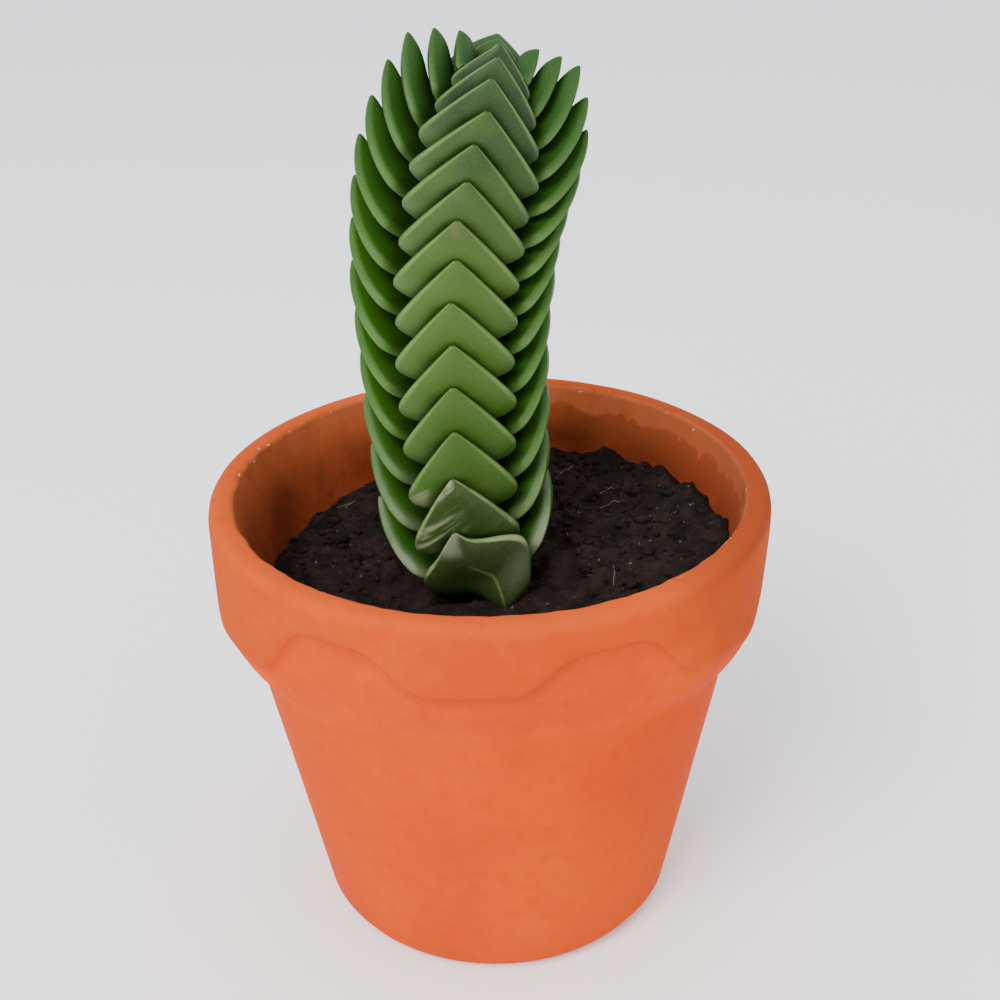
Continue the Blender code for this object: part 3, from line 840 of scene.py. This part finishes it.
def makeLeafPair(index, place, mat, below):
    rank = rankOf(index)
    shape = leafShape(index)
    if index == leaves["pairs"] - 1:
        shape["waist"] = leaves["oldWaist"]
    bm = bmesh.new()
    bmesh.ops.create_grid(bm, x_segments=leaves["along"], y_segments=leaves["across"], size=1.0)
    layers = addLayers(bm, leaves["layers"])
    sheet = list(bm.verts)
    data = {}
    for vert in sheet:
        top, normal, thick, t, v = bladePoint(shape, vert.co.x, vert.co.y)
        vert.co = top
        # painted highlight along the margins, strongest near the tips of the front rank
        rim = smooth(abs(v), leaves["rimFrom"], 1.0) * toneAt(rank["marginHighlightTone"], t)
        vert[layers["margin"]] = rim
        vert[layers["outer"]] = leaves["rimOuter"] * rim
        wornRim = leaves["wornRims"].get(index, 0.0)
        vert[layers["wearAndSheen"]] = smooth(abs(v), leaves["wornFrom"], 1.0) * wornRim
        vert[layers["tip"]] = t
        vert[layers["across"]] = -v if index % 2 and top.x >= 0 else v
        vert[layers["age"]] = index / (leaves["pairs"] - 1)
        data[tuple(round(c, 9) for c in top)] = (normal, thick)

    # the lower skin: thinned where it would reach into a pair below
    made = bmesh.ops.extrude_face_region(bm, geom=list(bm.faces))["geom"]
    lower = [g for g in made if isinstance(g, bmesh.types.BMVert)]
    gap = leaves["thinGap"]
    for vert in lower:
        normal, thick = data[tuple(round(c, 9) for c in vert.co)]
        top = vert.co.copy()
        for tree in below:
            _, _, _, far = tree.ray_cast(place @ top, place.to_3x3() @ -normal, thick + gap)
            if far is not None:
                thick = max(leaves["least"], min(thick, far - gap))
        vert.co = top - normal * thick
        # outer tone; on the side rank partly the dark inner colour, as painted shade
        vert[layers["outer"]] = toneAt(rank["outerTone"], vert[layers["tip"]])
    # the painted margin highlight kept mostly on the lower skin's edge
    for vert in sheet:
        vert[layers["margin"]] *= leaves["rimUpper"]
    pressOn(lower, place, below[-1:], leaves["lowerGap"])
    pressOn(sheet, place, below[-1:], leaves["upperGap"])
    if index == leaves["pairs"] - 1:
        twistLowest(shape, bm.verts, layers)
    bmesh.ops.transform(bm, matrix=place, verts=bm.verts)
    tree = BVHTree.FromBMesh(bm)
    number = leaves["pairs"] - index
    makePiece("leafPair%02d" % number, bm, mat, "leaf_pair_%02d" % number, levels=1)
    return tree


# age runs from 0 on the youngest pair to 1 on the oldest
leafLook = {
    "youngOuter": rgb(22, 46, 15),
    "midOuter": rgb(52, 82, 23),
    "oldOuter": rgb(50, 79, 17),
    "darkTipColour": rgb(34, 58, 20),
    "darkTip": 0.8,
    "greyPatch": rgb(64, 90, 44),
    "yellowPatch": rgb(72, 92, 34),
    "patches": 0.3,
    # darker on the low pairs
    "lowPairsDarkColour": rgb(36, 55, 20),
    "lowPairsDark": 0.8,
    "oldestColour": rgb(34, 46, 16),
    "oldest": 0.9,
    # painted light on the left lobes
    "leftLobeLightColour": rgb(78, 106, 60),
    "lobe": 0.45,
    "youngInner": rgb(30, 64, 12),
    "oldInner": rgb(38, 78, 2),
    # painted shade on the inner face near the joint
    "deepInnerShade": rgb(26, 56, 2),
    # painted highlight colour along the margins
    "marginHighlightColour": rgb(108, 142, 70),
    "margin": 0.5,
    "corkColour": rgb(128, 136, 96),
    "cork": 0.55,
    "scarColour": rgb(132, 140, 108),
    "scar": 0.8,
    "scarTurn": math.radians(-38),
    "scarSize": (1 / 110, 1 / 110, 1 / 520),
    "scabColour": rgb(104, 88, 58),
    "scab": 0.4,
    # painted highlight along the fold of the oldest leaf
    "foldHighlightColour": rgb(92, 112, 62),
    "fold": 0.45,
    # worn margins, and the painted highlight on the oldest leaf's corner
    "wearAndSheenColour": rgb(118, 124, 104),
    "wearAndSheen": (0.25, 0.85),
    "dotColour": rgb(126, 150, 100),
    "dots": 0.07,
    "rough": (0.48, 0.62),
    "specular": 0.22,
    "subsurface": 0.18,
    "subsurfaceRadius": (0.6, 1.0, 0.25),
    "subsurfaceScale": 1.5 * mm,
}


def leafOuterColour(m, patch):
    look = leafLook
    age, tip, across = m.attribute("age"), m.attribute("tip"), m.attribute("across")
    broad = m.noise(46.0, 3.0, 0.5, 0.4)
    colour = m.mix(m.band(age, 0.16, 0.62), look["youngOuter"], look["midOuter"])
    colour = m.mix(m.band(age, 0.55, 1.0), colour, look["oldOuter"])
    darkTip = m.times(m.band(tip, 0.72, 1.0, 0.0, look["darkTip"]), m.band(age, 0.62, 0.35, 0.15, 1.0))
    colour = m.mix(darkTip, colour, look["darkTipColour"])
    colour = m.mix(m.band(patch, 0.4, 0.7, 0.0, look["patches"]), colour, look["greyPatch"])
    colour = m.mix(m.band(broad, 0.45, 0.7, 0.0, look["patches"]), colour, look["yellowPatch"])
    # darker on the low pairs, and darker still on the oldest pair
    colour = m.mix(m.band(age, 0.88, 0.925, 0.0, look["lowPairsDark"]), colour, look["lowPairsDarkColour"])
    colour = m.mix(m.band(age, 0.97, 1.0, 0.0, look["oldest"]), colour, look["oldestColour"])
    # painted light: the left lobes, on the side of the light, a little lighter
    litLobes = m.times(m.band(across, 0.25, 0.75), m.band(tip, 0.6, 0.4))
    litLobes = m.times(litLobes, m.band(age, 0.95, 0.9, 0.0, look["lobe"]))
    return m.mix(litLobes, colour, look["leftLobeLightColour"])


def scarMask(m, age, tip, across, outer):
    # long pale streaks on the second oldest front leaf, and on one lobe of the third
    inputs = {"Vector": m.coords, "Scale": leafLook["scarSize"]}
    inputs["Rotation"] = (0.0, leafLook["scarTurn"], 0.0)
    turned = m.add("ShaderNodeMapping", inputs, vector_type="TEXTURE").outputs["Vector"]
    streaks = m.noise(1.0, 3.0, 0.5, 0.6, turned)
    lobeEnd = m.times(m.band(across, 0.35, 0.85, 0.0, 0.06), m.band(tip, 0.66, 0.5))
    scar = m.times(m.band(streaks, 0.48, 0.7), m.band(m.math("ADD", age, lobeEnd), 0.88, 0.92))
    scar = m.times(scar, m.band(outer, 0.6, 0.9), m.band(age, 0.995, 0.97))
    return m.times(scar, m.band(across, -0.35, 0.45, 0.03, leafLook["scar"]))


def leafMaterial():
    m = Shader("leafSkin")
    look = leafLook
    margin, outer, tip = m.attribute("margin"), m.attribute("outer"), m.attribute("tip")
    age, across = m.attribute("age"), m.attribute("across")
    patch = m.noise(120.0, 4.0, 0.55, 0.2)
    dots = m.noise(3400.0, 2.0, 0.5)
    inner = m.mix(m.band(age, 0.05, 0.6), look["youngInner"], look["oldInner"])
    # painted shade: the inner face darker near the joint, under the pair above
    inner = m.mix(m.band(tip, 0.1, 0.8), look["deepInnerShade"], inner)
    # inner and outer faces by the outer layer, which also carries the side rank's painted shade
    colour = m.mix(m.band(outer, 0.25, 0.75), inner, leafOuterColour(m, patch))
    # painted highlight along the margins
    colour = m.mix(m.times(margin, look["margin"]), colour, look["marginHighlightColour"])

    # marks of age: corky margins, scars, scabs at the tips and worn margins; also a painted highlight
    # along the fold line and on the oldest leaf's upper-left corner
    cork = m.times(m.band(age, 0.84, 0.97), m.band(m.noise(260.0, 3.0, 0.6), 0.38, 0.52))
    cork = m.times(cork, m.band(margin, 0.02, 0.5), look["cork"])
    colour = m.mix(cork, colour, look["corkColour"])
    colour = m.mix(scarMask(m, age, tip, across, outer), colour, look["scarColour"])
    scab = m.times(m.band(m.noise(85.0, 4.0, 0.65, 0.6), 0.52, 0.66), m.band(tip, 0.84, 0.96))
    scab = m.times(scab, m.band(age, 0.3, 0.42, 0.0, look["scab"]), m.band(outer, 0.3, 0.8))
    colour = m.mix(scab, colour, look["scabColour"])
    # painted highlight along the fold line of the oldest leaf
    foldOff = m.math("ABSOLUTE", m.math("SUBTRACT", m.attribute("fold"), 1.0))
    foldHighlight = m.times(m.band(foldOff, 0.045, 0.0, 0.0, look["fold"]), m.band(tip, 0.72, 0.6))
    colour = m.mix(foldHighlight, colour, look["foldHighlightColour"])
    # worn margins on the low pairs, and a painted highlight on the oldest leaf's corner
    wearAndSheen = m.times(m.attribute("wearAndSheen"), m.band(patch, 0.35, 0.6, *look["wearAndSheen"]))
    colour = m.mix(wearAndSheen, colour, look["wearAndSheenColour"])
    colour = m.mix(m.band(dots, 0.5, 0.75, 0.0, look["dots"]), colour, look["dotColour"])

    m.surface.inputs["Subsurface Weight"].default_value = look["subsurface"]
    m.surface.inputs["Subsurface Radius"].default_value = look["subsurfaceRadius"]
    m.surface.inputs["Subsurface Scale"].default_value = look["subsurfaceScale"]
    normal = m.bump(patch, 0.12, 0.4 * mm, m.bump(dots, 0.12, 0.1 * mm))
    return m.finish(colour, m.band(patch, 0.3, 0.7, *look["rough"]), look["specular"], normal)


leafSkin = leafMaterial()
heights = pairHeights()
placed = []
trees = []
for index, height in enumerate(heights):
    turnAngle = ((index + 1) % 2) * math.pi / 2 + leaves["turnWobble"] * math.sin(index * 1.7)
    placed.append(axisFrame(height, turnAngle))
for index in reversed(range(leaves["pairs"])):
    trees.append(makeLeafPair(index, placed[index], leafSkin, trees[-2:]))
print("leaves done")

# the closed bud at the top of the stem
bud = {
    "radius": 1.22 * mm,
    "length": 6.3 * mm,
    "square": 0.12,
    "taper": 0.25,
    "lift": 1.5 * mm,
    # margin here sets the share of painted margin highlight on the bud
    "tones": {"margin": 0.3, "outer": 0.8, "tip": 0.8, "age": 0.0},
}


def makeTip(mat):
    bm = bmesh.new()
    bmesh.ops.create_uvsphere(bm, u_segments=24, v_segments=16, radius=1.0)
    layers = addLayers(bm, bud["tones"])
    for vert in bm.verts:
        for name, tone in bud["tones"].items():
            vert[layers[name]] = tone
        up = vert.co.z
        square = 1 + bud["square"] * math.cos(4 * math.atan2(vert.co.y, vert.co.x))
        slim = bud["radius"] * square * (1 - bud["taper"] * up)
        vert.co = (vert.co.x * slim, vert.co.y * slim, (up + 1) * 0.5 * bud["length"])
    bmesh.ops.transform(bm, matrix=axisFrame(heights[0] + bud["lift"], 0.0), verts=bm.verts)
    return makePiece("growingTip", bm, mat, "growing_tip", levels=1)


makeTip(leafSkin)

# soil, with clods and fibres lying on it
soil = {
    "level": 63.6 * mm,
    "tilt": 0.105,
    "dip": 1.6 * mm,
    "swell": 0.5 * mm,
    "lumps": (  # size, scale, depth and seed
        (1.5 * mm, 210, 0.3, 4),
        (0.8 * mm, 560, 1.3, 5),
        (0.5 * mm, 1150, 2.3, 6),
    ),
    "wallGap": 0.3 * mm,
    "edgeGap": 0.25 * mm,
    "buriedGap": 0.4 * mm,
    "bank": 2.6,
    "bedGap": 0.5 * mm,
    "bedSide": 0.4 * mm,
    "bedSteps": 18,
    "clear": 15.5 * mm,
    "rings": 64,
    "steps": 220,
}


def leafBed(index, x, y):
    # height of the hollow that one of the lowest leaves lies in
    shape = leafShape(index)
    place = placed[index]
    up = place.to_3x3() @ Vector((0, 0, 1))
    along = place.to_3x3() @ Vector((1, 0, 0))
    joint = place.translation
    away = Vector((x - joint.x, y - joint.y, 0.0))
    plane = joint.z - (up.x * away.x + up.y * away.y) / up.z
    out = abs(away.dot(along))
    low, high = 0.0, 1.0
    for _ in range(soil["bedSteps"]):
        mid = (low + high) / 2
        if midline(shape, mid)[0].x < out:
            low = mid
        else:
            high = mid
    rise = midline(shape, low)[0].y
    side = max(0.0, abs(away.dot(up.cross(along))) - halfWidth(shape, low) - soil["bedSide"])
    beyond = max(0.0, out - shape["reach"])
    under = leaves["joint"] + frontRank["belly"] + soil["bedGap"]
    return plane + rise - under + soil["bank"] * (side + beyond)


def soilLevel(x, y):
    radius = math.hypot(x, y)
    level = soil["level"] + soil["tilt"] * x - soil["dip"] * (1 - (radius / pot["rimInner"]) ** 2)
    swell = math.sin(x / (3.1 * mm) + 1.3) * math.cos(y / (2.7 * mm))
    level += soil["swell"] * (swell + math.sin((x + 2 * y) / (4.3 * mm)))
    for size, scale, depth, seed in soil["lumps"]:
        level += size * noiseAt(x * scale, y * scale, depth, seed)
    last = leaves["pairs"] - 1
    return min(level, leafBed(last, x, y), leafBed(last - 1, x, y))


def makeSoil(mat):
    bm = bmesh.new()
    rowLayer = bm.verts.layers.int.new("row")
    rings = soil["rings"]
    reach = innerRadius(soil["level"]) - soil["wallGap"]
    bottom = pot["floor"] + soil["wallGap"]
    bend = bottom + pot["floorRound"]
    rows = [(reach * i / rings, soil["level"]) for i in range(rings + 1)]
    rows.append((innerRadius(pot["bodyTop"]) - soil["buriedGap"], pot["bodyTop"]))
    rows.append((innerRadius(bend) - soil["buriedGap"], bend))
    rows.append((innerRadius(bottom) - pot["floorRound"] - soil["wallGap"], bottom))
    rows.append((0.0, bottom))
    verts = []
    for i, (radius, z) in enumerate(rows):
        verts.append(bm.verts.new((0.0, -radius, z)))
        verts[-1][rowLayer] = i
    for pair in zip(verts, verts[1:]):
        bm.edges.new(pair)
    spinRound(bm, verts, soil["steps"])
    bmesh.ops.remove_doubles(bm, verts=bm.verts, dist=0.01 * mm)
    for vert in bm.verts:
        if vert[rowLayer] <= rings:
            vert.co.z = soilLevel(vert.co.x, vert.co.y)
            limit = innerRadius(vert.co.z) - soil["edgeGap"]
            radius = vert.co.xy.length
            if radius > limit or vert[rowLayer] == rings:
                vert.co.xy *= limit / radius
    return makePiece("pottingSoil", bm, mat, "soil")


def onSoil(reach):
    # a random place on the open soil, clear of the plant
    root = placed[-1].translation
    while True:
        radius = reach * math.sqrt(random.random())
        azimuth = random.uniform(0, 2 * math.pi)
        x, y = radius * math.cos(azimuth), radius * math.sin(azimuth)
        if math.hypot(x - root.x, y - root.y) > soil["clear"]:
            return x, y


# sizes in millimetres
clods = {
    "count": 900,
    "reach": 37.0,
    "size": (0.3, 0.75),
    "big": 2.0,
    "bigShare": 0.14,
    "squash": ((0.7, 1.5), (0.7, 1.3), (0.5, 0.9)),
    "jitter": (0.6, 1.35),
    "turn": 6.28,
    "sunk": 0.1,
}


def makeClods(mat):
    bm = bmesh.new()
    for _ in range(clods["count"]):
        x, y = onSoil(clods["reach"] * mm)
        size = random.uniform(*clods["size"]) * mm
        size *= clods["big"] if random.random() < clods["bigShare"] else 1.0
        made = bmesh.ops.create_icosphere(bm, subdivisions=1, radius=size)["verts"]
        squash = Vector(random.uniform(*span) for span in clods["squash"])
        for vert in made:
            vert.co = Vector(a * b for a, b in zip(vert.co, squash)) * random.uniform(*clods["jitter"])
        angle = random.uniform(0, clods["turn"])
        axis = Vector((random.random(), random.random(), 1)).normalized()
        place = Matrix.Translation((x, y, soilLevel(x, y) + clods["sunk"] * size))
        bmesh.ops.transform(bm, matrix=place @ Matrix.Rotation(angle, 4, axis), verts=made)
    return makePiece("soilClods", bm, mat, None)


# sizes in millimetres
fibres = {
    "count": 15,
    "reach": 34.0,
    "radius": 0.13,
    "step": (0.5, 1.3),
    "steps": 5,
    "bend": 0.45,
    "lift": 0.12,
}


def makeFibres(mat):
    # bits of root and coir, each a square tube drawn out step by step
    bm = bmesh.new()
    for _ in range(fibres["count"]):
        x, y = onSoil(fibres["reach"] * mm)
        step = random.uniform(*fibres["step"]) * mm
        heading = random.uniform(0, 2 * math.pi)
        radius = fibres["radius"] * mm
        ring = bmesh.ops.create_circle(bm, cap_ends=True, segments=4, radius=radius)["verts"]
        upright = Matrix.Rotation(heading, 4, "Z") @ Matrix.Rotation(math.pi / 2, 4, "Y")
        bmesh.ops.transform(bm, matrix=upright, verts=ring)
        bmesh.ops.translate(bm, vec=(x, y, 0), verts=ring)
        fibre = list(ring)
        face = ring[0].link_faces[0]
        for _ in range(fibres["steps"]):
            heading += random.uniform(-fibres["bend"], fibres["bend"])
            move = (step * math.cos(heading), step * math.sin(heading), 0)
            face = bmesh.ops.extrude_discrete_faces(bm, faces=[face])["faces"][0]
            bmesh.ops.translate(bm, vec=move, verts=face.verts)
            fibre += list(face.verts)
        for vert in fibre:
            vert.co.z += soilLevel(vert.co.x, vert.co.y) + fibres["lift"] * mm
    bmesh.ops.holes_fill(bm, edges=bm.edges, sides=4)
    return makePiece("soilFibres", bm, mat, None)


soilLook = {
    "earth": (rgb(15, 11, 9), rgb(36, 25, 21)),
    "gritColour": rgb(43, 31, 26),
    "grit": 0.5,
    "speckColour": rgb(110, 98, 88),
    "specks": 0.5,
    "rough": (0.8, 0.98),
    "specular": 0.12,
    "fibre": (rgb(46, 33, 25), rgb(92, 74, 60)),
    "fibreRough": 0.85,
    "fibreSpecular": 0.5,
}


def earthMaterial():
    m = Shader("pottingEarth")
    look = soilLook
    lump = m.noise(240.0, 6.0, 0.65, 0.2)
    grit = m.noise(1500.0, 4.0, 0.6)
    specks = m.band(m.noise(1100.0, 1.0, 0.4), 0.74, 0.78, 0.0, look["specks"])
    colour = m.mix(m.band(lump, 0.35, 0.66), *look["earth"])
    colour = m.mix(m.band(grit, 0.55, 0.75, 0.0, look["grit"]), colour, look["gritColour"])
    colour = m.mix(specks, colour, look["speckColour"])
    normal = m.bump(lump, 0.6, 1.2 * mm, m.bump(grit, 0.6, 0.5 * mm))
    return m.finish(colour, m.band(grit, 0.3, 0.7, *look["rough"]), look["specular"], normal)


def fibreMaterial():
    m = Shader("dryFibre")
    colour = m.mix(m.noise(300.0, 3.0), *soilLook["fibre"])
    return m.finish(colour, soilLook["fibreRough"], soilLook["fibreSpecular"])


earth = earthMaterial()
makeSoil(earth)
makeClods(earth)
makeFibres(fibreMaterial())
print("soil done")

# stem, which only shows between leaves
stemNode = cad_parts["stem"]
stemNode.material_slots[0].material = leafSkin
